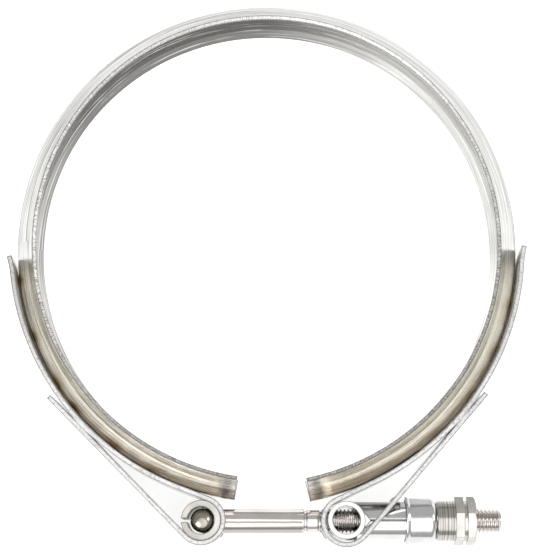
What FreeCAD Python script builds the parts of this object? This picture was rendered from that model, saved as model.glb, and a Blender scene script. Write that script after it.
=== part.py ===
import FreeCAD, Part

import math
import os

import Sketcher

# V-band clamp with a T-bolt, for joining two flanged tubes.
#
# Frame: the origin is the centre of the band's crown on its middle plane, +Z is the axis of
# the tubes, and the T-bolt lies parallel to X below the band, on the -Y side.
#
# The band is a V channel rolled into an open ring.  Two straps are welded to its back; each
# runs off the band, rounds an eye and comes back to its own back.  The left eye holds the
# cross-pin of the T-bolt in a rolled bush.  The right eye holds a saddle, whose sleeve the
# bolt passes through.  A cap closes the sleeve, and the lock nut bears on the cap.

SIZES = {
    # V channel
    "lip_radius": 76.9,         # clear radius inside the two lips
    "band_thickness": 1.5,
    "band_width": 20.4,         # over both lips
    "web_width": 2.7,           # back of the channel, between its bend lines
    "flange_angle": 39.0,       # flange against the ring's axis, in degrees
    "lip_angle": 28.0,          # turned lip against the ring's axis, in degrees
    "lip_depth": 3.5,           # axial length of the turned lip
    "edge_land": 0.12,          # inner corner of the sheared edge, rubbed round
    "web_bend": 1.0,            # bend radius at the web; the round on its outside follows
    # ring in its relaxed state: a true crown, and two arms that have sprung open
    "crown_span": 140.0,        # degrees of true arc at the top
    "left_spread": 2.15,        # extra radius of each arm
    "right_spread": 3.0,
    "end_gap": 24.9,            # between the ends, on the back
    "band_turn": 1.25,          # the gap's middle, round from square with the bolt
    # straps
    "strap_thickness": 1.6,
    "strap_width": 19.0,
    "strap_start": 2.0,         # degrees below the middle where a strap starts
    "tip_radius": 30.0,         # the strap's tip curls away from the band
    "tip_length": 6.0,
    "left_eye_radius": 6.45,    # inside radius of each eye
    "right_eye_radius": 6.75,
    "left_tail": 15.0,          # each tail, past the place where it meets the strap's back
    "right_tail": 11.0,
    "weld_gap": 0.05,
    "eye_recess": 0.2,          # bush and saddle ends, inside the strap's edges
    # where the two eyes are
    "eye_stand": 0.85,          # right eye's outside, clear of the right strap's inner circle
    "eye_drop": 0.3,            # right eye's centre, below the bolt's axis
    "left_eye": 21.3,           # left eye's distance from the middle
    "right_eye": 25.9,          # right eye's distance from the middle
    # bush in the left eye
    "bush_wall": 2.05,
    "bush_split": 1.3,
    "pin_window": 9.8,          # opening for the shank in the bush and the left strap
    # T-bolt
    "pin_radius": 3.85,
    "pin_recess": 0.4,          # pin ends, inside the bush's
    "pin_crown": 2.8,           # height of the domed end
    "pin_face": 1.7,            # radius of its flat
    "pin_brow": 3.15,           # radius half way down the dome
    "pin_shift": 0.3,           # the pin is pulled towards the bolt's end of its bush
    "shank_radius": 4.0,
    "shank_length": 33.6,
    "undercut_radius": 3.35,
    "undercut_length": 0.9,
    "neck_radius": 3.7,         # plain length between the undercut and the thread
    "neck_length": 3.5,
    "thread_radius": 3.93,
    "bolt_length": 98.1,        # pin axis to the bolt's end
    "bolt_chamfer": 0.8,
    # saddle in the right eye
    "saddle_wall": 1.6,
    "eye_clearance": 0.65,
    "sleeve_radius": 6.3,
    "sleeve_wall": 1.6,
    "saddle_slit": 0.4,         # seam along the front of the sleeve
    "sleeve_chamfer": 1.2,
    "beak_width": 13.6,
    "beak_length": 8.0,         # ring centre to the beak where the two halves meet
    "cap_seat": 0.15,           # between the sleeve's end and the bottom of the cap
    "window_gap": 1.2,          # round the shank and the sleeve, where they pass a strap
    "strap_window": 13.8,       # opening for the sleeve in the right strap, across it
    "window_reach": 18.3,       # how far past the eye's centre it runs
    # cap on the end of the sleeve
    "cap_position": 19.5,       # cap's mouth from the saddle's centre
    "cap_length": 10.0,
    "cap_wall": 0.65,
    "cap_clearance": 0.55,
    "rim_flare": 0.45,
    "rim_length": 1.3,
    "cap_rounding": 1.9,
    "cap_hole": 4.25,
    # lock nut
    "nut_clearance": 0.05,
    "nut_gap": 0.1,
    "barrel_radius": 6.5,
    "barrel_length": 6.2,
    "hex_flats": 13.9,
    "hex_length": 6.7,
    "hex_turn": 43.0,           # degrees about the bolt
    "groove_radius": 6.6,
    "groove_place": 2.8,        # from the start of the hexagon
    "groove_width": 1.1,
    "barrel_edge": 0.5,
    "nut_chamfer": 0.9,
    "nut_countersink": 0.5,
}

# Sizes that follow from the ones above, as the sheet's own formulas.
DERIVED = {
    # back of the channel: the radius of its web, of the bend at the lip, and of the lip's edge
    "edge_radius": "=lip_radius - edge_land + band_thickness * cos(lip_angle)",
    "bend_radius": "=edge_radius + lip_depth * tan(lip_angle)",
    "bend_height": "=band_width / 2 - lip_depth",
    "back_radius": "=bend_radius + (bend_height - web_width / 2) * tan(flange_angle)",
    # inner face of the channel
    "web_inner": "=back_radius - band_thickness",
    "web_inner_height": "=web_width / 2 - band_thickness * tan(flange_angle / 2)",
    "bend_slant": "=(flange_angle + lip_angle) / 2",
    "bend_reach": "=band_thickness / cos((flange_angle - lip_angle) / 2)",
    "bend_inner": "=bend_radius - bend_reach * cos(bend_slant)",
    "bend_inner_height": "=bend_height - bend_reach * sin(bend_slant)",
    "web_half": "=web_width / 2",
    "band_half": "=band_width / 2",
    "corner_height": "=band_width / 2 - band_thickness * sin(lip_angle)",
    "land_top": "=corner_height + edge_land * tan(lip_angle)",
    "land_bottom": "=corner_height - edge_land / tan(lip_angle)",
    "web_bend_outer": "=web_bend + band_thickness",
    # arms
    "crown_start": "=90 - crown_span / 2",
    "left_arm_radius": "=back_radius + left_spread",
    "left_arm_x": "=left_spread * cos(crown_start)",
    "left_arm_y": "=left_spread * sin(crown_start)",
    "left_arm_cosine": "=(end_gap / 2 + left_arm_x) / left_arm_radius",
    "left_arm_sweep": "=crown_start + acos(left_arm_cosine) / 1 deg",
    "right_arm_radius": "=back_radius + right_spread",
    "right_arm_x": "=right_spread * cos(crown_start)",
    "right_arm_y": "=right_spread * sin(crown_start)",
    "right_arm_cosine": "=(end_gap / 2 + right_arm_x) / right_arm_radius",
    "right_arm_sweep": "=crown_start + acos(right_arm_cosine) / 1 deg",
    # strap surfaces
    "tip_inner": "=tip_radius - strap_thickness / 2",
    "tip_outer": "=tip_radius + strap_thickness / 2",
    "tip_sweep": "=180 / pi * tip_length / tip_radius",
    "left_eye_outer": "=left_eye_radius + strap_thickness",
    "left_front": "=left_arm_radius + weld_gap",
    "left_rear": "=left_front + strap_thickness",
    "left_tail_front": "=left_rear + weld_gap",
    "left_tail_rear": "=left_tail_front + strap_thickness",
    "left_tip_span": "=180 / pi * tip_length / left_front",
    "left_tip_turn": "=strap_start + left_tip_span",
    "left_tip_height": "=-left_arm_y - (left_front + tip_outer) * sin(left_tip_turn)",
    "right_eye_outer": "=right_eye_radius + strap_thickness",
    "right_front": "=right_arm_radius + weld_gap",
    "right_rear": "=right_front + strap_thickness",
    "right_tail_front": "=right_rear + weld_gap",
    "right_tail_rear": "=right_tail_front + strap_thickness",
    "right_tip_span": "=180 / pi * tip_length / right_front",
    "right_tip_turn": "=strap_start + right_tip_span",
    "right_tip_height": "=-right_arm_y - (right_front + tip_outer) * sin(right_tip_turn)",
    # the right arm's centre after the band's turn, and the bolt's axis below the band
    "turned_hub_x": "=right_arm_y * sin(band_turn) - right_arm_x * cos(band_turn)",
    "turned_hub_y": "=-right_arm_x * sin(band_turn) - right_arm_y * cos(band_turn)",
    "eye_run": "=right_eye - turned_hub_x",
    "eye_reach": "=right_front + right_eye_outer + eye_stand",
    "eye_fall": "=sqrt(eye_reach ^ 2 - eye_run ^ 2) - turned_hub_y",
    "bolt_drop": "=eye_fall - eye_drop",
    # eyes, seen from the band as it stands before it is turned
    "left_eye_x": "=left_eye * cos(band_turn) + bolt_drop * sin(band_turn)",
    "left_eye_y": "=bolt_drop * cos(band_turn) - left_eye * sin(band_turn)",
    "right_eye_x": "=right_eye * cos(band_turn) - eye_fall * sin(band_turn)",
    "right_eye_y": "=eye_fall * cos(band_turn) + right_eye * sin(band_turn)",
    # saddle, cap and nut
    "ring_radius": "=right_eye_radius - eye_clearance",
    "ring_bore": "=ring_radius - saddle_wall",
    "sleeve_bore": "=sleeve_radius - sleeve_wall",
    "bush_bore": "=left_eye_radius - bush_wall",
    "cap_inner": "=sleeve_radius + cap_clearance",
    "cap_outer": "=cap_inner + cap_wall",
    "nut_bore": "=thread_radius + nut_clearance",
    "hex_corner": "=hex_flats / 2 / cos(30)",
    "window_half": "=shank_radius + window_gap",
    "window_depth": "=right_eye_outer + 3",
    "sleeve_room": "=sleeve_radius + window_gap",
    "seam_half": "=bush_split / 2",
    "pin_x": "=pin_shift - left_eye",
    "roll_length": "=strap_width - 2 * eye_recess",
    "pin_half": "=roll_length / 2 - pin_recess",
    "shoulder_x": "=shank_length - left_eye",
    "neck_x": "=shoulder_x + undercut_length",
    "thread_x": "=neck_x + neck_length",
    "brow_drop": "=pin_half - pin_crown / 3",
    "side_drop": "=pin_half - pin_crown",
    "bolt_end": "=bolt_length - left_eye",
    "beak_turn": "=acos(ring_radius / beak_length)",
    "beak_x": "=ring_radius * cos(beak_turn)",
    "beak_y": "=ring_radius * sin(beak_turn)",
    "cap_mouth": "=right_eye + cap_position",
    "cap_end": "=cap_mouth + cap_length",
    "cap_fold": "=cap_rounding - cap_wall",
    "cap_brow": "=cap_rounding * (1 - cos(45))",
    "cap_floor": "=cap_end - cap_wall",
    "sleeve_end": "=cap_end - cap_wall - cap_seat",
    "nut_start": "=cap_end + nut_gap",
    "hex_start": "=nut_start + barrel_length",
    "nut_end": "=hex_start + hex_length",
    "groove_start": "=hex_start + groove_place",
    "chamfer_run": "=(nut_chamfer + 1) * tan(30)",
    "hex_y0": "=hex_corner * cos(hex_turn + 30)",
    "hex_z0": "=hex_corner * sin(hex_turn + 30)",
    "hex_y1": "=hex_corner * cos(hex_turn + 90)",
    "hex_z1": "=hex_corner * sin(hex_turn + 90)",
    "hex_y2": "=hex_corner * cos(hex_turn + 150)",
    "hex_z2": "=hex_corner * sin(hex_turn + 150)",
    "hex_y3": "=hex_corner * cos(hex_turn + 210)",
    "hex_z3": "=hex_corner * sin(hex_turn + 210)",
    "hex_y4": "=hex_corner * cos(hex_turn + 270)",
    "hex_z4": "=hex_corner * sin(hex_turn + 270)",
    "hex_y5": "=hex_corner * cos(hex_turn + 330)",
    "hex_z5": "=hex_corner * sin(hex_turn + 330)",
}

doc = FreeCAD.newDocument("v_band_clamp")
sheet = doc.addObject("Spreadsheet::Sheet", "sizes")


def fill_sheet():
    """Write the driving sizes and the derived ones, each under its alias."""
    row = 1
    for alias, number in SIZES.items():
        sheet.set("A%d" % row, alias)
        sheet.set("B%d" % row, str(number))
        sheet.setAlias("B%d" % row, alias)
        row += 1
    for alias, formula in DERIVED.items():
        sheet.set("A%d" % row, alias)
        sheet.set("B%d" % row, formula)
        sheet.setAlias("B%d" % row, alias)
        row += 1
    doc.recompute()


def size(alias):
    """A size in millimetres or degrees, as the sheet has it."""
    value = sheet.get(alias)
    return float(getattr(value, "Value", value))


def point(x, y):
    return FreeCAD.Vector(x, y, 0)


def polar(radius, degrees):
    return point(radius * math.cos(math.radians(degrees)), radius * math.sin(math.radians(degrees)))


# --- sketches ------------------------------------------------------------------------------

ORIGIN = -1                     # the sketch's root point, in constraints
START, END, CENTRE = range(1, 4)
AXIS_RUN = 10.0                 # drawn length of a construction line; any length serves


def new_body(label):
    body = doc.addObject("PartDesign::Body", label)
    body.Label = label
    return body


def origin_plane(body, role):
    return next(item for item in body.Origin.OriginFeatures if item.Role == role)


def new_sketch(body, name, role, turn=None):
    """A sketch on one of the body's own planes; turn names the angle that swings it about Z."""
    sketch = body.newObject("Sketcher::SketchObject", name)
    sketch.AttachmentSupport = [(origin_plane(body, role), "")]
    sketch.MapMode = "FlatFace"
    if turn:
        sketch.AttachmentOffset = FreeCAD.Placement(
            point(0, 0), FreeCAD.Rotation(FreeCAD.Vector(0, 1, 0), size_of(turn)))
        sketch.setExpression(".AttachmentOffset.Rotation.Angle", turn)
    return sketch


def size_of(expression):
    """The number that a short expression of one alias and plain numbers stands for."""
    sign = 1.0
    total = 0.0
    for word in expression.replace("-", " - ").replace("+", " + ").split():
        if word in "+-":
            sign = 1.0 if word == "+" else -1.0
        elif word.startswith("sizes."):
            total += sign * size(word[len("sizes."):])
        else:
            total += sign * float(word)
    return total


class Rules:
    """Constraints collected for one sketch, added together and then tied to the sheet."""

    def __init__(self, sketch):
        self.sketch = sketch
        self.constraints = []
        self.ties = []

    def add(self, *terms):
        self.constraints.append(Sketcher.Constraint(*terms))

    def tie(self, name, expression, kind, *terms):
        """A dimension that the sheet drives."""
        self.ties.append((len(self.constraints), name, expression))
        number = size_of(expression)
        self.add(kind, *terms, math.radians(number) if kind == "Angle" else number)

    def pin(self, name, geometry, place, x_name, y_name):
        """Hold a point at coordinates that the sheet gives."""
        self.tie(name + "_x", x_name, "DistanceX", ORIGIN, START, geometry, place)
        self.tie(name + "_y", y_name, "DistanceY", ORIGIN, START, geometry, place)

    def finish(self):
        first = len(self.sketch.Constraints)
        self.sketch.addConstraint(self.constraints)
        for index, name, expression in self.ties:
            self.sketch.renameConstraint(first + index, name)
            self.sketch.setExpression(".Constraints." + name, expression)


def axis_line(sketch, x_name, y_name, along):
    """A construction line to turn a profile about, from a point that the sheet gives."""
    foot = point(size_of(x_name), size_of(y_name))
    reach = point(AXIS_RUN, 0) if along == "Horizontal" else point(0, AXIS_RUN)
    axis = sketch.addGeometry(Part.LineSegment(foot, foot + reach), True)
    rules = Rules(sketch)
    rules.add(along, axis)
    rules.add("Distance", axis, AXIS_RUN)
    rules.pin("axis", axis, START, x_name, y_name)
    rules.finish()


def round_arc(centre, first, middle, last):
    """The arc from first to last on middle's side, with the names of its two ends.

    A sketch counts its arcs anticlockwise, so the first point can be the arc's end.
    """
    angles = [math.atan2(spot.y - centre.y, spot.x - centre.x) for spot in (first, middle, last)]
    full = 2 * math.pi
    anticlockwise = (angles[1] - angles[0]) % full < (angles[2] - angles[0]) % full
    low, high = (angles[0], angles[2]) if anticlockwise else (angles[2], angles[0])
    ring = Part.Circle(centre, FreeCAD.Vector(0, 0, 1), first.distanceToPoint(centre))
    arc = Part.ArcOfCircle(ring, low, low + (high - low) % full)
    return (arc, START, END) if anticlockwise else (arc, END, START)


def polygon(sketch, corners):
    """A closed outline through corners (name, x, y), or (name, x, y, radius) where rounded."""
    places = [point(size_of(corner[1]), size_of(corner[2])) for corner in corners]
    count = len(corners)
    starts = list(places)
    ends = list(places)
    centres = {}
    for i, corner in enumerate(corners):
        if len(corner) == 4:
            radius = size_of(corner[3])
            back = (places[i - 1] - places[i]).normalize()
            ahead = (places[(i + 1) % count] - places[i]).normalize()
            half = back.getAngle(ahead) / 2
            ends[i] = places[i] + back * (radius / math.tan(half))
            starts[i] = places[i] + ahead * (radius / math.tan(half))
            centres[i] = places[i] + (back + ahead).normalize() * (radius / math.sin(half))
    lines = []
    for i in range(count):
        lines.append(sketch.addGeometry(Part.LineSegment(starts[i], ends[(i + 1) % count]), False))
    rules = Rules(sketch)
    for i, corner in enumerate(corners):
        name = corner[0]
        before = lines[i - 1]
        after = lines[i]
        if i not in centres:
            rules.add("Coincident", before, END, after, START)
            rules.pin(name, after, START, corner[1], corner[2])
            continue
        turning, near, far = round_arc(centres[i], ends[i], places[i], starts[i])
        arc = sketch.addGeometry(turning, False)
        mark = sketch.addGeometry(Part.Point(places[i]), True)
        rules.add("Tangent", before, END, arc, near)
        rules.add("Tangent", after, START, arc, far)
        rules.tie(name + "_round", corner[3], "Radius", arc)
        rules.pin(name, mark, START, corner[1], corner[2])
        rules.add("PointOnObject", mark, START, before)
        rules.add("PointOnObject", mark, START, after)
    rules.finish()


def circle(sketch, name, radius, x_name="0", y_name="0"):
    centre = point(size_of(x_name), size_of(y_name))
    ring = sketch.addGeometry(Part.Circle(centre, FreeCAD.Vector(0, 0, 1), size_of(radius)), False)
    rules = Rules(sketch)
    rules.tie(name + "_radius", radius, "Radius", ring)
    rules.pin(name, ring, CENTRE, x_name, y_name)
    rules.finish()


def pad(body, sketch, name, length, both_ways=True):
    feature = body.newObject("PartDesign::Pad", name)
    feature.Profile = sketch
    feature.Midplane = both_ways
    feature.setExpression("Length", length)
    return feature


def pocket(body, sketch, name, length=None):
    """Cut a sketch away on both sides of its plane, through everything if no length is given."""
    feature = body.newObject("PartDesign::Pocket", name)
    feature.Profile = sketch
    feature.Midplane = True
    if length:
        feature.Type = 0
        feature.setExpression("Length", length)
    else:
        feature.Type = 1
    return feature


def revolve(body, sketch, name, axis, kind="PartDesign::Revolution", angle=None, backwards=False):
    feature = body.newObject(kind, name)
    feature.Profile = sketch
    feature.ReferenceAxis = (sketch, [axis])
    feature.Angle = 360.0
    if angle:
        feature.setExpression("Angle", angle)
    feature.Reversed = backwards
    return feature


# --- band ----------------------------------------------------------------------------------

def channel_section(sketch):
    """The V channel's section, radius along x and height along y, on both sides of y = 0."""
    half = (
        ("web", "sizes.back_radius", "sizes.web_half", "sizes.web_bend_outer"),
        ("bend", "sizes.bend_radius", "sizes.bend_height"),
        ("edge", "sizes.edge_radius", "sizes.band_half"),
        ("land_out", "sizes.lip_radius", "sizes.land_top"),
        ("land_in", "sizes.lip_radius", "sizes.land_bottom"),
        ("bend_in", "sizes.bend_inner", "sizes.bend_inner_height"),
        ("web_in", "sizes.web_inner", "sizes.web_inner_height"),
    )
    upper = [("top_" + corner[0],) + corner[1:] for corner in half]
    lower = [("low_" + corner[0], corner[1], "-" + corner[2]) + corner[3:] for corner in half]
    polygon(sketch, upper + lower[::-1])


def add_arm(body, side, turn):
    """One sprung arm: it leaves the crown in line, on a centre a little way off."""
    section = new_sketch(body, side + "_arm_section", "XZ_Plane", turn)
    channel_section(section)
    axis_line(section, "-sizes.%s_spread" % side, "0", "Vertical")
    return revolve(body, section, side + "_arm", "Axis0", angle="sizes.%s_arm_sweep" % side,
                   backwards=side == "right")


def make_retainer():
    body = new_body("v_retainer")
    crown = new_sketch(body, "crown_section", "XZ_Plane", "sizes.crown_start")
    channel_section(crown)
    revolve(body, crown, "crown", "V_Axis", angle="sizes.crown_span")
    add_arm(body, "right", "sizes.crown_start")
    add_arm(body, "left", "180 - sizes.crown_start")
    body.setExpression(".Placement.Rotation.Angle", "sizes.band_turn")
    return body


# --- straps --------------------------------------------------------------------------------

def strap_points(side, face):
    """Where one face of a strap changes direction, drawn as for the strap on the right.

    face is 0 for the face towards the band, which becomes the outside of the eye, and 1 for
    the back, which becomes its inside.
    """
    thick = size("strap_thickness")
    hub = point(-size(side + "_arm_x"), -size(side + "_arm_y"))
    eye = point(size(side + "_eye_x"), -size(side + "_eye_y"))
    hug = size(side + "_front") + face * thick
    bend = size(side + "_eye_outer") - face * thick
    tail = size(side + "_tail_rear") - face * thick
    span = eye - hub
    slope = math.degrees(math.atan2(span.y, span.x))
    leave = slope + math.degrees(math.acos((hug + bend) / span.Length))
    depart = slope + math.degrees(math.acos((tail - bend) / span.Length))
    start = -size(side + "_tip_turn")
    tip_hub = hub + polar(size(side + "_front") + size("tip_outer"), start)
    curl = size("tip_outer") - face * thick
    return {
        "hub": hub,
        "eye": eye,
        "tip_hub": tip_hub,
        "tip": tip_hub + polar(curl, start + 180 - size("tip_sweep")),
        "tip_middle": tip_hub + polar(curl, start + 180 - size("tip_sweep") / 2),
        "lift": hub + polar(hug, start),
        "hug_middle": hub + polar(hug, (start + leave) / 2),
        "leave": hub + polar(hug, leave),
        "arrive": eye - polar(bend, leave),
        "bend_middle": eye + polar(bend, (leave + 180 + depart + 360) / 2),
        "depart": eye + polar(bend, depart),
        "touch": hub + polar(tail, depart),
        "finish": hub + polar(tail, depart) + polar(size(side + "_tail"), depart + 90),
    }


def mirrored(place, side):
    return place if side == "right" else point(-place.x, place.y)


def strap_face(sketch, rules, side, face):
    """Draw one face of the strap, as arcs and straight runs that flow into each other."""
    spots = {name: mirrored(spot, side) for name, spot in strap_points(side, face).items()}
    ends = {}

    def arc(name, first, middle, last, centre):
        shape, start, finish = round_arc(spots[centre], spots[first], spots[middle], spots[last])
        ends[name] = (sketch.addGeometry(shape, False), start, finish)

    def line(name, first, last):
        run = Part.LineSegment(spots[first], spots[last])
        ends[name] = (sketch.addGeometry(run, False), START, END)

    arc("tip", "tip", "tip_middle", "lift", "tip_hub")
    arc("hug", "lift", "hug_middle", "leave", "hub")
    line("leg", "leave", "arrive")
    arc("bend", "arrive", "bend_middle", "depart", "eye")
    line("tail", "depart", "finish")
    for before, after in (("tip", "hug"), ("hug", "leg"), ("leg", "bend"), ("bend", "tail")):
        rules.add("Tangent", ends[before][0], ends[before][2], ends[after][0], ends[after][1])
    sizes = (("hug", side + "_front", side + "_rear"),
             ("bend", side + "_eye_outer", side + "_eye_radius"),
             ("tip", "tip_outer", "tip_inner"))
    for name, *radii in sizes:
        rules.tie("%s_%d" % (name, face), "sizes." + radii[face], "Radius", ends[name][0])
    return spots, ends


def strap_outline(sketch, side):
    """The strap seen along the tubes' axis."""
    rules = Rules(sketch)
    front_spots, front = strap_face(sketch, rules, side, 0)
    rear_spots, rear = strap_face(sketch, rules, side, 1)
    caps = []
    for spot, run, place in (("tip", "tip", 1), ("finish", "tail", 2)):
        cap = sketch.addGeometry(Part.LineSegment(front_spots[spot], rear_spots[spot]), False)
        rules.add("Coincident", cap, START, front[run][0], front[run][place])
        rules.add("Coincident", cap, END, rear[run][0], rear[run][place])
        caps.append(cap)
    out, back = ("", "-") if side == "right" else ("-", "")
    rules.pin("hub", front["hug"][0], CENTRE,
              back + "sizes.%s_arm_x" % side, "-sizes.%s_arm_y" % side)
    rules.pin("eye", front["bend"][0], CENTRE,
              out + "sizes.%s_eye_x" % side, "-sizes.%s_eye_y" % side)
    for name in ("hug", "bend"):
        rules.add("Coincident", front[name][0], CENTRE, rear[name][0], CENTRE)
    rules.tie("tip_height", "sizes.%s_tip_height" % side, "DistanceY",
              ORIGIN, START, front["tip"][0], CENTRE)
    rules.add("Horizontal", front["tip"][0], CENTRE, rear["tip"][0], CENTRE)
    rules.tie("tip_sweep", "sizes.tip_sweep", "Angle", front["tip"][0])
    rules.add("PointOnObject", front["tip"][0], CENTRE, caps[0])
    rules.add("Perpendicular", caps[1], front["tail"][0])
    foot = rear_spots["touch"]
    spoke = sketch.addGeometry(Part.LineSegment(rear_spots["hub"], foot), True)
    rules.add("Coincident", spoke, START, rear["hug"][0], CENTRE)
    rules.add("PointOnObject", spoke, END, rear["tail"][0])
    rules.add("Perpendicular", spoke, rear["tail"][0])
    rules.tie("tail_rests", "sizes.%s_tail_front" % side, "Distance", spoke)
    rules.tie("tail_length", "sizes.%s_tail" % side, "Distance",
              spoke, END, rear["tail"][0], rear["tail"][2])
    rules.finish()


def box_cut(body, name, sides, length):
    """Cut a straight-sided opening through the body, drawn on the middle plane."""
    west, south, east, north = sides
    window = new_sketch(body, name + "_shape", "XY_Plane")
    polygon(window, (("south_west", west, south), ("south_east", east, south),
                     ("north_east", east, north), ("north_west", west, north)))
    return pocket(body, window, name, length)


def make_strap(side):
    body = new_body("strap_" + side)
    path = new_sketch(body, side + "_path", "XY_Plane")
    strap_outline(path, side)
    pad(body, path, side + "_strip", "sizes.strap_width")
    out = "" if side == "right" else "-"
    eye_x = out + "sizes.%s_eye_x" % side
    low = "-sizes.%s_eye_y - sizes.window_half" % side
    high = "-sizes.%s_eye_y + sizes.window_half" % side
    inward = eye_x + (" - " if side == "right" else " + ") + "sizes.window_depth"
    west, east = (inward, eye_x) if side == "right" else (eye_x, inward)
    box_cut(body, side + "_shank_window", (west, low, east, high), "sizes.pin_window")
    if side == "right":
        floor = "-sizes.right_eye_y - sizes.sleeve_room"
        roof = "-sizes.right_eye_y + sizes.sleeve_room"
        reach = eye_x + " + sizes.window_reach"
        box_cut(body, "sleeve_window", (eye_x + " + 1.5", floor, reach, roof),
                "sizes.strap_window")
    body.setExpression(".Placement.Rotation.Angle", "sizes.band_turn")
    return body


# --- bush, bolt, saddle, cap and nut ---------------------------------------------------------

def make_bush():
    body = new_body("trunnion_bush")
    tube = new_sketch(body, "bush_tube", "XY_Plane")
    circle(tube, "outer", "sizes.left_eye_radius", "-sizes.left_eye", "-sizes.bolt_drop")
    circle(tube, "bore", "sizes.bush_bore", "-sizes.left_eye", "-sizes.bolt_drop")
    pad(body, tube, "rolled_bush", "sizes.roll_length")
    box_cut(body, "bush_window",
            ("-sizes.left_eye", "-sizes.bolt_drop - sizes.window_half",
             "-sizes.left_eye + sizes.window_depth", "-sizes.bolt_drop + sizes.window_half"),
            "sizes.pin_window")
    box_cut(body, "bush_seam",
            ("-sizes.left_eye - sizes.window_depth", "-sizes.bolt_drop - sizes.seam_half",
             "-sizes.left_eye", "-sizes.bolt_drop + sizes.seam_half"),
            "sizes.strap_width")
    return body


def lathe(body, name, corners, rise="-sizes.bolt_drop", kind="PartDesign::Revolution"):
    """Turn an outline, given as radius against distance along X, about the bolt's axis."""
    profile = new_sketch(body, name + "_profile", "XY_Plane")
    lifted = [(word, x, rise + " + " + r) + tuple(rest) for word, x, r, *rest in corners]
    polygon(profile, lifted)
    axis_line(profile, "0", rise, "Horizontal")
    return revolve(body, profile, name, "Axis0", kind)


def make_bolt():
    body = new_body("t_bolt")
    lathe(body, "shank", (
        ("root", "sizes.pin_x", "0"),
        ("root_top", "sizes.pin_x", "sizes.shank_radius"),
        ("shoulder", "sizes.shoulder_x", "sizes.shank_radius"),
        ("undercut_in", "sizes.shoulder_x", "sizes.undercut_radius"),
        ("undercut_out", "sizes.neck_x", "sizes.undercut_radius"),
        ("neck_in", "sizes.neck_x", "sizes.neck_radius"),
        ("neck_out", "sizes.thread_x", "sizes.neck_radius"),
        ("thread_in", "sizes.thread_x", "sizes.thread_radius"),
        ("thread_out", "sizes.bolt_end - sizes.bolt_chamfer", "sizes.thread_radius"),
        ("tip", "sizes.bolt_end", "sizes.thread_radius - sizes.bolt_chamfer"),
        ("tip_axis", "sizes.bolt_end", "0"),
    ))
    doc.recompute()
    pin = new_sketch(body, "pin_profile", "XZ_Plane")
    dome = (
        ("middle", "sizes.pin_x", "sizes.pin_half"),
        ("flat", "sizes.pin_x + sizes.pin_face", "sizes.pin_half"),
        ("brow", "sizes.pin_x + sizes.pin_brow", "sizes.brow_drop"),
        ("side", "sizes.pin_x + sizes.pin_radius", "sizes.side_drop"),
    )
    head = [("head_" + name, x, z) for name, x, z in dome]
    foot = [("foot_" + name, x, "-" + z) for name, x, z in dome]
    pin.AttachmentOffset = FreeCAD.Placement(
        FreeCAD.Vector(0, 0, size("bolt_drop")), FreeCAD.Rotation())
    pin.setExpression(".AttachmentOffset.Base.z", "sizes.bolt_drop")
    polygon(pin, head + foot[::-1])
    axis_line(pin, "sizes.pin_x", "0", "Vertical")
    revolve(body, pin, "cross_pin", "Axis0")
    return body


def make_saddle():
    body = new_body("trunnion_saddle")
    ring = new_sketch(body, "ring_shape", "XY_Plane")
    circle(ring, "outer", "sizes.ring_radius", "sizes.right_eye", "-sizes.bolt_drop")
    pad(body, ring, "ring", "sizes.roll_length")
    lathe(body, "sleeve", (
        ("root", "sizes.right_eye", "0"),
        ("root_top", "sizes.right_eye", "sizes.sleeve_radius"),
        ("mouth_edge", "sizes.sleeve_end - sizes.sleeve_chamfer", "sizes.sleeve_radius"),
        ("mouth_top", "sizes.sleeve_end", "sizes.sleeve_radius - sizes.sleeve_chamfer"),
        ("mouth", "sizes.sleeve_end", "0"),
    ))
    doc.recompute()
    beak = new_sketch(body, "beak_shape", "XY_Plane")
    polygon(beak, (
        ("centre", "sizes.right_eye", "-sizes.bolt_drop"),
        ("low", "sizes.right_eye + sizes.beak_x", "-sizes.bolt_drop - sizes.beak_y"),
        ("tip", "sizes.right_eye + sizes.beak_length", "-sizes.bolt_drop"),
        ("high", "sizes.right_eye + sizes.beak_x", "-sizes.bolt_drop + sizes.beak_y"),
    ))
    pad(body, beak, "beak", "sizes.beak_width")
    doc.recompute()
    hollow = new_sketch(body, "hollow_shape", "XY_Plane")
    circle(hollow, "hollow", "sizes.ring_bore", "sizes.right_eye", "-sizes.bolt_drop")
    pocket(body, hollow, "ring_hollow")
    doc.recompute()
    lathe(body, "sleeve_hollow", (
        ("back", "sizes.right_eye - sizes.window_depth", "0"),
        ("back_top", "sizes.right_eye - sizes.window_depth", "sizes.sleeve_bore"),
        ("front_top", "sizes.sleeve_end + 1", "sizes.sleeve_bore"),
        ("front", "sizes.sleeve_end + 1", "0"),
    ), kind="PartDesign::Groove")
    seam = new_sketch(body, "seam_shape", "XZ_Plane")
    polygon(seam, (
        ("inner_back", "sizes.right_eye + sizes.beak_length", "0"),
        ("inner_front", "sizes.sleeve_end + 1", "0"),
        ("outer_front", "sizes.sleeve_end + 1", "sizes.right_eye_outer"),
        ("outer_back", "sizes.right_eye + sizes.beak_length", "sizes.right_eye_outer"),
    ))
    seam.AttachmentOffset = FreeCAD.Placement(
        FreeCAD.Vector(0, 0, size("bolt_drop")), FreeCAD.Rotation())
    seam.setExpression(".AttachmentOffset.Base.z", "sizes.bolt_drop")
    pocket(body, seam, "sleeve_seam", "sizes.saddle_slit")
    return body


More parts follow.
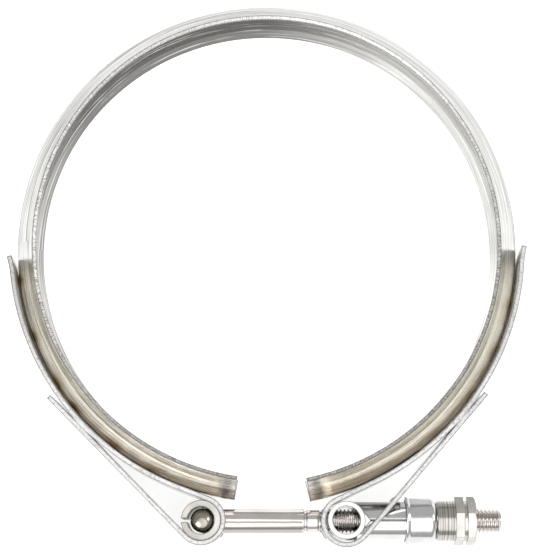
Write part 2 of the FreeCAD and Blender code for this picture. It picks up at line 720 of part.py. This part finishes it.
def make_cap():
    body = new_body("end_cap")
    lathe(body, "shell", (
        ("rim_in", "sizes.cap_mouth", "sizes.cap_inner"),
        ("rim", "sizes.cap_mouth", "sizes.cap_outer + sizes.rim_flare"),
        ("rim_step", "sizes.cap_mouth + sizes.rim_length", "sizes.cap_outer"),
        ("shoulder", "sizes.cap_end - sizes.cap_rounding", "sizes.cap_outer"),
        ("brow", "sizes.cap_end - sizes.cap_brow", "sizes.cap_outer - sizes.cap_brow"),
        ("face", "sizes.cap_end", "sizes.cap_outer - sizes.cap_rounding"),
        ("hole_out", "sizes.cap_end", "sizes.cap_hole"),
        ("hole_in", "sizes.cap_floor", "sizes.cap_hole"),
        ("fold_floor", "sizes.cap_floor", "sizes.cap_inner - sizes.cap_fold"),
        ("fold_side", "sizes.cap_floor - sizes.cap_fold", "sizes.cap_inner"),
    ))
    return body


def make_nut():
    body = new_body("lock_nut")
    flats = new_sketch(body, "hexagon", "YZ_Plane")
    corners = []
    for step in range(6):
        name = "corner_%d" % step
        corners.append((name, "sizes.hex_y%d - sizes.bolt_drop" % step, "sizes.hex_z%d" % step))
    polygon(flats, corners)
    flats.AttachmentOffset = FreeCAD.Placement(
        FreeCAD.Vector(0, 0, size("hex_start")), FreeCAD.Rotation())
    flats.setExpression(".AttachmentOffset.Base.z", "sizes.hex_start")
    pad(body, flats, "hexagon_block", "sizes.hex_length", both_ways=False)
    lathe(body, "barrel", (
        ("back", "sizes.nut_start", "0"),
        ("back_top", "sizes.nut_start", "sizes.barrel_radius - sizes.barrel_edge"),
        ("side", "sizes.nut_start + sizes.barrel_edge", "sizes.barrel_radius"),
        ("front_top", "sizes.hex_start", "sizes.barrel_radius"),
        ("front", "sizes.hex_start", "0"),
    ))
    lathe(body, "groove", (
        ("in_low", "sizes.groove_start", "sizes.groove_radius"),
        ("in_high", "sizes.groove_start", "sizes.hex_flats"),
        ("out_high", "sizes.groove_start + sizes.groove_width", "sizes.hex_flats"),
        ("out_low", "sizes.groove_start + sizes.groove_width", "sizes.groove_radius"),
    ), kind="PartDesign::Groove")
    lathe(body, "corner_chamfer", (
        ("inner", "sizes.nut_end", "sizes.hex_corner - sizes.nut_chamfer"),
        ("rim", "sizes.nut_end + 2", "sizes.hex_corner - sizes.nut_chamfer"),
        ("far", "sizes.nut_end + 2", "sizes.hex_corner + 1"),
        ("side", "sizes.nut_end - sizes.chamfer_run", "sizes.hex_corner + 1"),
    ), kind="PartDesign::Groove")
    lathe(body, "bore", (
        ("back", "sizes.nut_start - 1", "0"),
        ("back_top", "sizes.nut_start - 1", "sizes.nut_bore"),
        ("front_low", "sizes.nut_end - sizes.nut_countersink", "sizes.nut_bore"),
        ("front_top", "sizes.nut_end", "sizes.nut_bore + sizes.nut_countersink"),
        ("out_top", "sizes.nut_end + 1", "sizes.nut_bore + sizes.nut_countersink"),
        ("out", "sizes.nut_end + 1", "0"),
    ), kind="PartDesign::Groove")
    return body


def check_document():
    """Stop if any object failed or any piece is not one sound solid."""
    for item in doc.Objects:
        if "Invalid" in item.State or "Error" in item.State:
            raise RuntimeError("%s failed" % item.Label)
    for item in doc.findObjects("PartDesign::Body"):
        shape = item.Shape
        if shape.isNull() or not shape.isValid() or len(shape.Solids) != 1:
            raise RuntimeError("%s is not one sound solid" % item.Label)


def export_parts():
    os.makedirs("parts", exist_ok=True)
    for item in doc.findObjects("PartDesign::Body"):
        item.Shape.exportStep("parts/%s.step" % item.Label)


def main():
    fill_sheet()
    make_retainer()
    make_strap("left")
    make_strap("right")
    make_bush()
    make_bolt()
    make_saddle()
    make_cap()
    make_nut()
    doc.recompute()
    check_document()
    export_parts()


main()
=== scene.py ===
import math

import bpy
from mathutils import Matrix, Vector


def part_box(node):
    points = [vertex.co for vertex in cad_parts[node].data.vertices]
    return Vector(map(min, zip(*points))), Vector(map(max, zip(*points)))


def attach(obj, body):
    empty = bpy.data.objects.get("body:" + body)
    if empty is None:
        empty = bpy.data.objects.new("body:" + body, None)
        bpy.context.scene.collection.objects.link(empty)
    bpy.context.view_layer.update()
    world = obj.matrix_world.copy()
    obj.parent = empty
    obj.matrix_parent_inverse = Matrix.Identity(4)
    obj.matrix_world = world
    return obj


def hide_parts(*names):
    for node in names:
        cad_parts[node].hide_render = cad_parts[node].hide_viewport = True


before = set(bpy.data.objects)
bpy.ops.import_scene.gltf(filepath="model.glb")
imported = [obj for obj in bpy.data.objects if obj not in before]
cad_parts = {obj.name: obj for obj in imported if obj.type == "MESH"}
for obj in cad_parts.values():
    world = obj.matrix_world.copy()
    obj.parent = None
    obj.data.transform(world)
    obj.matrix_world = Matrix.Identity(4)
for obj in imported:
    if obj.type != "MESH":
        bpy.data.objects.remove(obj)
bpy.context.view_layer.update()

MM = 0.001
AXIS_Y = -0.092972              # metres, the bolt's axis
BEVEL_SAMPLES = 6
EDGE_SHADE = (0.10, 0.095, 0.09)   # painted shade for creases and sharp edges


# --- node helpers ----------------------------------------------------------------------------

class Shader:
    """A node material, with short calls for the nodes that it is made of."""

    def __init__(self, name):
        self.material = bpy.data.materials.new(name)
        self.material.use_nodes = True
        self.nodes = self.material.node_tree.nodes
        self.links = self.material.node_tree.links
        self.surface = self.nodes["Principled BSDF"]
        self.place = self.add("ShaderNodeTexCoord").outputs["Object"]

    def add(self, kind, **settings):
        node = self.nodes.new(kind)
        for key, value in settings.items():
            setattr(node, key, value)
        return node

    def feed(self, socket, value):
        if isinstance(value, bpy.types.NodeSocket):
            self.links.new(value, socket)
        else:
            socket.default_value = value

    def math(self, operation, first, second=0.0):
        node = self.add("ShaderNodeMath", operation=operation)
        self.feed(node.inputs[0], first)
        self.feed(node.inputs[1], second)
        return node.outputs[0]

    def times(self, first, second):
        return self.math("MULTIPLY", first, second)

    def vector(self, operation, first, second=(0, 0, 0), output=0):
        node = self.add("ShaderNodeVectorMath", operation=operation)
        self.feed(node.inputs[0], first)
        self.feed(node.inputs[1], second)
        return node.outputs[output]

    def split(self, value):
        node = self.add("ShaderNodeSeparateXYZ")
        self.feed(node.inputs[0], value)
        return node.outputs

    def join(self, x, y, z):
        node = self.add("ShaderNodeCombineXYZ")
        for socket, value in zip(node.inputs, (x, y, z)):
            self.feed(socket, value)
        return node.outputs[0]

    def noise(self, where, scale, detail=3.0, rough=0.5):
        node = self.add("ShaderNodeTexNoise")
        self.feed(node.inputs["Vector"], where)
        node.inputs["Scale"].default_value = scale
        node.inputs["Detail"].default_value = detail
        node.inputs["Roughness"].default_value = rough
        return node.outputs["Fac"]

    def ramp(self, value, low, high, start=0.0, end=1.0):
        """value taken from the span low to high on to the span start to end, held at both ends."""
        node = self.add("ShaderNodeMapRange")
        self.feed(node.inputs["Value"], value)
        for name, number in (("From Min", low), ("From Max", high),
                             ("To Min", start), ("To Max", end)):
            node.inputs[name].default_value = number
        return node.outputs[0]

    def mix(self, share, first, second):
        node = self.add("ShaderNodeMix", data_type="RGBA")
        self.feed(node.inputs["Factor"], share)
        colours = [socket for socket in node.inputs if socket.type == "RGBA"]
        for socket, value in zip(colours, (first, second)):
            linked = isinstance(value, bpy.types.NodeSocket)
            self.feed(socket, value if linked else (*value, 1.0))
        return next(socket for socket in node.outputs if socket.type == "RGBA")

    def bump(self, height, distance, strength=1.0, under=None):
        node = self.add("ShaderNodeBump")
        node.inputs["Strength"].default_value = strength
        node.inputs["Distance"].default_value = distance
        self.feed(node.inputs["Height"], height)
        if under:
            self.feed(node.inputs["Normal"], under)
        return node.outputs[0]

    def around(self):
        """Radius, angle and height about the tubes' axis."""
        x, y, z = self.split(self.place)
        radius = self.math("SQRT", self.math("ADD", self.times(x, x), self.times(y, y)))
        return radius, self.math("ARCTAN2", y, x), z

    def rounded(self, radius):
        """The surface's normal with its sharp edges rounded."""
        node = self.add("ShaderNodeBevel", samples=BEVEL_SAMPLES)
        node.inputs["Radius"].default_value = radius
        return node.outputs[0]

    def finish(self, colour, rough, normal=None, metal=1.0):
        self.surface.inputs["Metallic"].default_value = metal
        if isinstance(colour, bpy.types.NodeSocket):
            self.links.new(colour, self.surface.inputs["Base Color"])
        else:
            self.surface.inputs["Base Color"].default_value = (*colour, 1.0)
        self.feed(self.surface.inputs["Roughness"], rough)
        if normal:
            self.links.new(normal, self.surface.inputs["Normal"])
        return self.material


def facing(steel, low, high):
    """1 on surfaces that face along the tubes' axis, such as sheared edges, else 0."""
    normal = steel.add("ShaderNodeTexCoord").outputs["Normal"]
    return steel.ramp(steel.math("ABSOLUTE", steel.split(normal)[2]), low, high)


def ring_lines(steel, across, along):
    """Coordinates that stretch a texture round the band."""
    radius, angle, height = steel.around()
    return steel.join(steel.times(radius, across),
                      steel.times(height, across),
                      steel.times(angle, along))


def corner(steel, radius):
    """How near a point is to a sharp edge or a crease: 0 on a plain face, 1 at the edge."""
    plain = steel.add("ShaderNodeNewGeometry").outputs["Normal"]
    meeting = steel.vector("DOT_PRODUCT", plain, steel.rounded(radius), output="Value")
    edge_from, edge_full = 0.997, 0.93
    return steel.ramp(meeting, edge_from, edge_full)


def heat_tint_and_seam_shade(steel, shade, spots, seam):
    """Heat tint on the band: a brown fringe beside the straps, widest at each spot weld; the fringe
    is part heat tint and part painted shade in the crevice.

    The spots on the right arm are fainter.
    """
    straw_colour = (0.62, 0.48, 0.30)
    burnt_colour = (0.18, 0.11, 0.06)
    fringe_tint_and_shade_colour = (0.30, 0.22, 0.14)
    radius = steel.around()[0]
    ragged = steel.noise(ring_lines(steel, 300.0, 14.0), 1.0, 3.0, 0.6)
    outside = steel.ramp(radius, 0.0826, 0.0834, 0.3, 1.0)
    for spot in spots:
        strength = 1.0 if spot[0] < 0 else 0.45
        distance = steel.vector("DISTANCE", steel.place, spot, output="Value")
        distance = steel.times(distance, steel.ramp(ragged, 0.3, 0.7, 0.8, 1.25))
        straw = steel.ramp(distance, 0.0050, 0.0030, 0.0, 0.45 * strength)
        burnt = steel.ramp(distance, 0.0036, 0.0018, 0.0, 0.8 * strength)
        shade = steel.mix(steel.times(outside, straw), shade, straw_colour)
        shade = steel.mix(steel.times(outside, burnt), shade, burnt_colour)
    # Fringe by the strap seam on the bolt's side: heat tint with painted crevice shade.
    fringe = steel.ramp(steel.math("ADD", radius, steel.times(ragged, 0.0016)),
                        seam + 0.0010, seam + 0.0017, 0.0, 0.5)
    bolt_side = steel.ramp(steel.split(steel.place)[1], -0.004, -0.012)
    return steel.mix(steel.times(fringe, bolt_side), shade, fringe_tint_and_shade_colour)


def band_steel(name, colour, dark, rough, spots, seam):
    """Rolled sheet: drawn lines round the band, sheared edges and heat tint at the welds."""
    steel = Shader(name)
    x, y, z = steel.split(steel.place)
    radius = steel.around()[0]
    fine = steel.noise(ring_lines(steel, 2400.0, 4.0), 1.0, 4.0, 0.6)
    broad = steel.noise(ring_lines(steel, 650.0, 3.0), 1.0, 3.0, 0.55)
    slow = steel.noise(steel.place, 45.0, 2.0)
    lines = steel.noise(ring_lines(steel, 1500.0, 2.0), 1.0, 3.0, 0.6)
    grain = steel.noise(ring_lines(steel, 700.0, 230.0), 1.0, 3.0, 0.7)

    # Rolled surface. Painted light makes it brightest beside the bolt; painted shade greys it at
    # the crown and behind, darkest behind at the crown.
    shade = steel.mix(steel.ramp(broad, 0.36, 0.64), colour, dark)
    darker = tuple(part * 0.80 for part in dark)
    shade = steel.mix(steel.ramp(slow, 0.45, 0.70, 0.0, 0.5), shade, darker)
    crown = steel.ramp(y, 0.005, 0.045)
    behind = steel.ramp(z, 0.0, -0.002)
    shade = steel.mix(steel.ramp(y, 0.0, -0.015, 0.0, 0.9), shade, (0.98, 0.97, 0.93))
    above = steel.times(crown, steel.math("SUBTRACT", 0.75, behind))
    shade = steel.mix(above, shade, (0.50, 0.495, 0.485))
    below = steel.times(behind, steel.ramp(x, 0.030, -0.030, 0.10, 0.85))
    shade = steel.mix(below, shade, (0.47, 0.46, 0.445))
    grey = steel.times(behind, steel.times(crown, steel.ramp(x, 0.045, 0.0)))
    shade = steel.mix(grey, shade, (0.20, 0.195, 0.19))

    # Drawn lines, dark and light.
    streak = steel.times(steel.ramp(lines, 0.53, 0.62), steel.ramp(x, 0.045, -0.01, 0.35, 0.7))
    shade = steel.mix(streak, shade, (0.17, 0.16, 0.145))
    shade = steel.mix(steel.ramp(lines, 0.42, 0.34, 0.0, 0.7), shade, (0.95, 0.95, 0.94))
    shade = heat_tint_and_seam_shade(steel, shade, spots, seam)
    # Painted shade along the web's outer rim on the crown's half.
    rim = steel.times(steel.ramp(radius, 0.0836, 0.0841), steel.ramp(y, -0.01, 0.0))
    shade = steel.mix(steel.times(rim, 0.8), shade, (0.26, 0.26, 0.27))

    # Sheared edges, with painted shade on them at the crown.
    sheared = facing(steel, 0.74, 0.80)
    torn = steel.mix(steel.ramp(grain, 0.40, 0.60), (0.84, 0.83, 0.81), (0.28, 0.27, 0.26))
    torn = steel.mix(steel.times(crown, 0.5), torn, (0.40, 0.395, 0.39))
    shade = steel.mix(sheared, shade, torn)
    # Painted shade on sharp edges and creases.
    shade = steel.mix(steel.times(corner(steel, 0.0007), 0.92), shade, EDGE_SHADE)

    roughness = steel.math("ADD", steel.ramp(fine, 0.3, 0.7, rough * 0.75, rough * 1.35),
                           steel.times(sheared, 0.16))
    wave = steel.math("ADD", broad, steel.times(fine, 0.25))
    drawn = steel.bump(wave, 0.00006, 0.7, steel.rounded(0.0003))
    torn_height = steel.times(grain, sheared)
    return steel.finish(shade, roughness, steel.bump(torn_height, 0.00010, 0.8, drawn))


def strap_steel(name, colour, dark, rough):
    """Bright strip with rounded, pitted mill edges. Painted light makes its inner faces the
    brightest; painted shade darkens its sharp edges.
    """
    steel = Shader(name)
    x, y, z = steel.split(steel.place)
    rolled = steel.join(steel.times(x, 60.0), steel.times(y, 60.0), steel.times(z, 1800.0))
    fine = steel.noise(rolled, 1.0, 4.0, 0.6)
    slow = steel.noise(steel.place, 60.0, 2.0)
    pits = steel.noise(steel.place, 1500.0, 3.0, 0.65)
    shade = steel.mix(steel.ramp(slow, 0.35, 0.65), colour, dark)
    # Painted light on the faces that look in towards the band's middle.
    plain = steel.add("ShaderNodeNewGeometry").outputs["Normal"]
    outward = steel.vector("DOT_PRODUCT", steel.place, plain, output="Value")
    shade = steel.mix(steel.ramp(outward, -0.02, -0.06, 0.0, 0.95), shade, (0.97, 0.95, 0.90))
    edge = facing(steel, 0.80, 0.95)
    pitted = steel.times(edge, steel.ramp(pits, 0.50, 0.66, 0.0, 0.85))
    shade = steel.mix(pitted, shade, (0.26, 0.255, 0.25))
    # Painted shade on sharp edges and creases.
    shade = steel.mix(steel.times(corner(steel, 0.00085), 0.9), shade, (0.13, 0.12, 0.115))
    roughness = steel.math("ADD", steel.ramp(fine, 0.3, 0.7, rough * 0.75, rough * 1.3),
                           steel.times(edge, 0.08))
    rolled_edge = steel.bump(fine, 0.00001, 0.6, steel.rounded(0.00055))
    return steel.finish(shade, roughness,
                        steel.bump(steel.times(pits, edge), 0.00006, 0.6, rolled_edge))


def formed_steel(name, colour, dark, rough, scale=700.0, grain=0.00001):
    """Pressed or forged steel with a fine grain, and painted shade in its creases and on its sharp
    edges.
    """
    steel = Shader(name)
    fine = steel.noise(steel.place, scale, 4.0, 0.6)
    slow = steel.noise(steel.place, 110.0, 2.0)
    shade = steel.mix(steel.ramp(slow, 0.35, 0.65), colour, dark)
    shade = steel.mix(steel.times(corner(steel, 0.0006), 0.92), shade, EDGE_SHADE)
    roughness = steel.ramp(fine, 0.3, 0.7, rough * 0.75, rough * 1.3)
    return steel.finish(shade, roughness, steel.bump(fine, grain, 0.6, steel.rounded(0.0003)))


def paint_shank_shade(steel, shade, from_x, to_x):
    """Painted shade along the lower front of the shank, with a brown painted reflection line at its
    border.
    """
    x, y, z = steel.split(steel.place)
    fade = 0.0004
    ragged = steel.noise(steel.join(steel.times(x, 260.0), 0.0, 0.0), 1.0, 3.0, 0.6)
    below = steel.math("SUBTRACT", AXIS_Y, steel.math("ADD", y, steel.times(ragged, 0.0005)))
    along = steel.times(steel.ramp(x, from_x, from_x + fade), steel.ramp(x, to_x, to_x - fade))
    front = steel.times(along, steel.ramp(z, 0.0, 0.0005))
    # Painted reflection of the horizon: a brown line.
    line = steel.times(steel.ramp(below, -0.0002, 0.0001), steel.ramp(below, 0.0008, 0.0004))
    shade = steel.mix(steel.times(steel.times(line, front), 0.85), shade, (0.22, 0.17, 0.13))
    # Painted shade on the shank's lower side.
    underside_shade = steel.times(steel.ramp(below, 0.0014, 0.0024), front)
    return steel.mix(steel.times(underside_shade, 0.8), shade, (0.34, 0.33, 0.32))


def turned_steel(name, colour, dark, rough, rings, depth, strength,
                 banding=0.0, banded=1.0, shank_shade_span=None):
    """Turned steel: fine rings about the bolt's axis.

    Dark rings of strength banding lie where x is below banded. Painted shade, with a painted
    reflection line at its border, lies along the shank's lower side between the two given x values.
    """
    steel = Shader(name)
    x = steel.split(steel.place)[0]
    cut = steel.noise(steel.join(steel.times(x, rings), 0.0, 0.0), 1.0, 3.0, 0.65)
    slow = steel.noise(steel.place, 130.0, 2.0)
    shade = steel.mix(steel.ramp(slow, 0.35, 0.65), colour, dark)
    band = steel.times(steel.ramp(cut, 0.48, 0.60, 0.0, banding),
                       steel.ramp(x, banded, banded - 0.0003))
    shade = steel.mix(band, shade, tuple(part * 0.3 for part in dark))
    if shank_shade_span:
        shade = paint_shank_shade(steel, shade, *shank_shade_span)
    roughness = steel.ramp(cut, 0.3, 0.7, rough * 0.8, rough * 1.25)
    # Painted shade on sharp edges and creases.
    shade = steel.mix(steel.times(corner(steel, 0.0004), 0.6), shade, (0.16, 0.15, 0.14))
    return steel.finish(shade, roughness, steel.bump(cut, depth, strength, steel.rounded(0.0002)))


def paint(node, material):
    """Gives a CAD node its material. Its shape and place stay."""
    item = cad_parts[node]
    item.data.materials.clear()
    item.data.materials.append(material)


# --- T-bolt with its thread --------------------------------------------------------------------

PITCH = 1.25 * MM
THREAD_DEPTH = 0.68 * MM
RINGS_A_TURN = 12               # rings of the skin to one turn of the thread


def thread_radius(x, angle, crest):
    """An M8 thread: flat crest, straight flanks and a flat root."""
    phase = (x / PITCH - angle / (2 * math.pi)) % 1.0
    distance = abs(phase - 0.5) * 2
    share = min(1.0, max(0.0, (distance - 0.2) / 0.6))
    return crest - THREAD_DEPTH * share


def ring_mesh(name, rings, centre_y, sides=48, closed=False):
    """A skin over rings given as (x, radius or radius at an angle), about the bolt's axis.

    A closed one comes back to its first ring, and has no ends to fill.
    """
    if closed:
        rings = rings[:-1]
    points = []
    for x, radius in rings:
        for side in range(sides):
            angle = 2 * math.pi * side / sides
            r = radius(x, angle) if callable(radius) else radius
            points.append((x, centre_y + r * math.cos(angle), r * math.sin(angle)))
    faces = []
    rows = len(rings)
    for row in range(rows if closed else rows - 1):
        onward = (row + 1) % rows
        for side in range(sides):
            ahead = (side + 1) % sides
            faces.append((row * sides + side, row * sides + ahead,
                          onward * sides + ahead, onward * sides + side))
    if not closed:
        faces.append(tuple(range(sides))[::-1])
        faces.append(tuple(range((rows - 1) * sides, rows * sides)))
    mesh = bpy.data.meshes.new(name)
    mesh.from_pydata(points, [], [face[::-1] for face in faces])
    item = bpy.data.objects.new(name, mesh)
    bpy.context.scene.collection.objects.link(item)
    return item


def smooth(item, degrees):
    """Smooth shading, with an edge wherever two faces meet at more than the given angle."""
    for face in item.data.polygons:
        face.use_smooth = True
    split = item.modifiers.new("edges", "EDGE_SPLIT")
    split.split_angle = math.radians(degrees)


def make_bolt(material, pin_material):
    """The T-bolt: a shank, an undercut, a neck and the thread, and a cross pin with domed ends."""
    low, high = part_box("t_bolt")
    centre_y = (low[1] + high[1]) / 2
    pin_radius = 3.85 * MM
    pin_x = low[0] + pin_radius
    end = high[0]
    crest = 3.93 * MM
    shank = 4.0 * MM
    neck = 3.7 * MM
    undercut = 3.35 * MM
    chamfer = 0.8 * MM
    shoulder = pin_x + 33.3 * MM
    neck_from = shoulder + 0.9 * MM
    thread_from = neck_from + 3.5 * MM

    def thread(place, angle):
        lead_in = neck + (place - thread_from) * 0.35
        lead_out = crest - max(0.0, place - (end - chamfer))
        return min(thread_radius(place, angle, crest), lead_in, lead_out)

    rings = [(pin_x, shank), (shoulder - 0.25 * MM, shank),
             (shoulder - 0.07 * MM, shank - 0.07 * MM), (shoulder, shank - 0.25 * MM),
             (shoulder + 0.02 * MM, undercut),
             (neck_from - 0.15 * MM, undercut), (neck_from, neck - 0.12 * MM),
             (neck_from + 0.12 * MM, neck), (thread_from, neck)]
    step = PITCH / RINGS_A_TURN
    rings += [(thread_from + index * step, thread)
              for index in range(1, int((end - thread_from) / step) + 1)]
    rings.append((end, crest - chamfer))
    shaft = ring_mesh("bolt_shaft", rings, centre_y)
    smooth(shaft, 38)
    half = (high[2] - low[2]) / 2
    crown = 2.8 * MM
    steps = 14
    profile = []
    for index in range(steps + 1):
        turn = math.pi / 2 * index / steps
        profile.append((-half + crown * (1 - math.cos(turn)),
                        max(pin_radius * math.sin(turn), 0.02 * MM)))
    profile += [(-z, r) for z, r in profile[::-1]]
    pin = ring_mesh("bolt_pin", profile, 0.0)
    pin.data.transform(Matrix.Rotation(math.radians(-90), 4, "Y"))
    pin.data.transform(Matrix.Translation((pin_x, centre_y, 0.0)))
    smooth(pin, 50)
    for item, steel in ((shaft, material), (pin, pin_material)):
        item.data.materials.append(steel)
        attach(item, "bolt")
    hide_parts("t_bolt")


def make_cap(material):
    """The drawn cap: a flared mouth, a plain wall and a rounded shoulder."""
    low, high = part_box("end_cap")
    centre_y = (low[1] + high[1]) / 2
    mouth, end = low[0], high[0]
    rim = (high[1] - low[1]) / 2
    wall = 0.65 * MM
    outer = 7.5 * MM
    inner = outer - wall
    hole = 4.25 * MM
    turn = 1.9 * MM
    outline = [(mouth, rim - 0.35 * MM), (mouth + 0.08 * MM, rim - 0.08 * MM),
               (mouth + 0.3 * MM, rim)]
    flare_steps, turn_steps, fold_steps = 6, 8, 4
    for index in range(flare_steps + 1):
        share = index / flare_steps
        ease = share * share * (3 - 2 * share)
        outline.append((mouth + (0.45 + 1.15 * share) * MM, rim + (outer - rim) * ease))
    for index in range(turn_steps + 1):
        angle = math.pi / 2 * index / turn_steps
        outline.append((end - turn + turn * math.sin(angle), outer - turn + turn * math.cos(angle)))
    outline += [(end, hole + 0.1 * MM), (end - 0.1 * MM, hole), (end - wall, hole)]
    fold = turn - wall
    for index in range(fold_steps + 1):
        angle = math.pi / 2 * (1 - index / fold_steps)
        outline.append((end - turn + fold * math.sin(angle),
                        inner - fold + fold * math.cos(angle)))
    outline.append((mouth, inner))
    cap = ring_mesh("cap_shell", outline + outline[:1], centre_y, sides=72, closed=True)
    smooth(cap, 50)
    cap.data.materials.append(material)
    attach(cap, "cap")
    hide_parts("end_cap")


# --- pieces ------------------------------------------------------------------------------------

BAND_TURN = 1.25                # degrees
WELD_RADIUS = 0.0838            # metres
STRAP_SEAM = 0.0834             # metres, where the straps lie on the band
LEFT_WELDS = (-117.8, -127.6, -140.2, -147.3, -159.0, -172.6)
RIGHT_WELDS = (-62.0, -50.5, -39.0, -27.5, -16.0)

weld_spots = []
for weld in LEFT_WELDS + RIGHT_WELDS:
    place = math.radians(weld + BAND_TURN)
    weld_spots.append((WELD_RADIUS * math.cos(place), WELD_RADIUS * math.sin(place), 0.0))

paint("v_retainer", band_steel("band_steel", (0.72, 0.72, 0.705), (0.60, 0.60, 0.575), 0.28,
                               weld_spots, STRAP_SEAM))
for side in ("left", "right"):
    paint("strap_" + side, strap_steel("strap_steel_" + side, (0.62, 0.615, 0.61),
                                       (0.50, 0.495, 0.49), 0.22))
paint("trunnion_bush", formed_steel("bush_steel", (0.52, 0.51, 0.48), (0.38, 0.37, 0.34), 0.30))
paint("trunnion_saddle",
      formed_steel("saddle_steel", (0.68, 0.675, 0.67), (0.60, 0.595, 0.58), 0.12))
make_cap(turned_steel("cap_steel", (0.66, 0.66, 0.665), (0.58, 0.58, 0.585), 0.17,
                      900.0, 0.000006, 0.4))
paint("lock_nut", turned_steel("nut_steel", (0.60, 0.58, 0.55), (0.46, 0.44, 0.41), 0.20,
                               1700.0, 0.00003, 0.6, banding=0.9, banded=0.0617))
make_bolt(turned_steel("bolt_steel", (0.70, 0.665, 0.645), (0.62, 0.58, 0.555), 0.13,
                       3000.0, 0.000006, 0.4, shank_shade_span=(-0.0165, 0.0119)),
          formed_steel("pin_steel", (0.50, 0.47, 0.42), (0.26, 0.24, 0.20), 0.16,
                       scale=420.0, grain=0.00008))


# --- stage -----------------------------------------------------------------------------------

FLOOR_GLOW = 0.78
PANEL = 1.25                    # strength of the bright panel overhead
FRONT_WALL = 0.65
BACK_WALL = 0.60
CAMERA_PLACE = (-0.00003, -0.1116, 0.5285)
CAMERA_TILT = 10.7              # degrees from straight down
FOCAL_LENGTH = 107.3            # mm, on a sensor 36 mm wide
FLOOR_GAP = 0.00002             # metres, so that the floor doesn't touch the band


def floor(height):
    """A plain pale sheet that glows a little, as a light table does."""
    mesh = bpy.data.meshes.new("floor")
    reach = 4.0
    corners = [(-reach, -reach), (reach, -reach), (reach, reach), (-reach, reach)]
    mesh.from_pydata([(x, y, height) for x, y in corners], [], [(0, 1, 2, 3)])
    item = bpy.data.objects.new("floor", mesh)
    bpy.context.scene.collection.objects.link(item)
    shade = Shader("floor_paper")
    shade.finish((0.48, 0.48, 0.48), 0.9, metal=0.0)
    shade.surface.inputs["Emission Color"].default_value = (1.0, 1.0, 1.0, 1.0)
    shade.surface.inputs["Emission Strength"].default_value = FLOOR_GLOW
    mesh.materials.append(shade.material)


def softbox(name, place, width, height, power):
    """A white rectangular light, aimed at the middle of the clamp."""
    light = bpy.data.lights.new(name, "AREA")
    light.shape = "RECTANGLE"
    light.size = width
    light.size_y = height
    light.energy = power
    item = bpy.data.objects.new(name, light)
    item.location = place
    item.rotation_euler = (-Vector(place)).to_track_quat("-Z", "Y").to_euler()
    bpy.context.scene.collection.objects.link(item)


def studio():
    """A grey room, darker low down, under a wide bright panel that leans to the bolt's side."""
    world = bpy.data.worlds.new("studio")
    world.use_nodes = True
    nodes = world.node_tree.nodes
    links = world.node_tree.links

    def span(value, low, high, start, end):
        node = nodes.new("ShaderNodeMapRange")
        node.interpolation_type = "SMOOTHSTEP"
        links.new(value, node.inputs["Value"])
        for name, number in (("From Min", low), ("From Max", high),
                             ("To Min", start), ("To Max", end)):
            node.inputs[name].default_value = number
        return node.outputs[0]

    def join(operation, first, second):
        node = nodes.new("ShaderNodeMath")
        node.operation = operation
        for socket, value in zip(node.inputs, (first, second)):
            if isinstance(value, bpy.types.NodeSocket):
                links.new(value, socket)
            else:
                socket.default_value = value
        return node.outputs[0]

    where = nodes.new("ShaderNodeTexCoord")
    parts = nodes.new("ShaderNodeSeparateXYZ")
    links.new(where.outputs["Generated"], parts.inputs[0])
    y, z = parts.outputs["Y"], parts.outputs["Z"]
    toward = join("ADD", join("MULTIPLY", y, -0.37), join("MULTIPLY", z, 0.93))
    panel = span(toward, 0.76, 0.84, 0.0, PANEL)
    wall = span(y, -0.60, 0.60, FRONT_WALL, BACK_WALL)
    wall = join("MULTIPLY", wall, span(z, 0.02, 0.45, 0.75, 1.0))
    level = join("ADD", wall, panel)
    links.new(level, nodes["Background"].inputs["Strength"])
    nodes["Background"].inputs["Color"].default_value = (1.0, 1.0, 1.0, 1.0)
    bpy.context.scene.world = world


def camera():
    """Above the clamp and a little to the bolt's side."""
    lens = bpy.data.cameras.new("camera")
    lens.sensor_fit = "HORIZONTAL"
    lens.sensor_width = 36.0
    lens.lens = FOCAL_LENGTH
    lens.dof.use_dof = False
    item = bpy.data.objects.new("camera", lens)
    item.location = CAMERA_PLACE
    item.rotation_euler = (math.radians(CAMERA_TILT), 0.0, 0.0)
    bpy.context.scene.collection.objects.link(item)
    bpy.context.scene.camera = item


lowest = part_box("v_retainer")[0][2]
floor(lowest - FLOOR_GAP)
camera()
studio()
softbox("key", (-0.75, -0.85, 1.05), 0.9, 0.9, 9.0)
softbox("fill", (0.75, 0.1, 0.5), 0.3, 0.5, 2.0)
bpy.context.scene.view_settings.view_transform = "Standard"
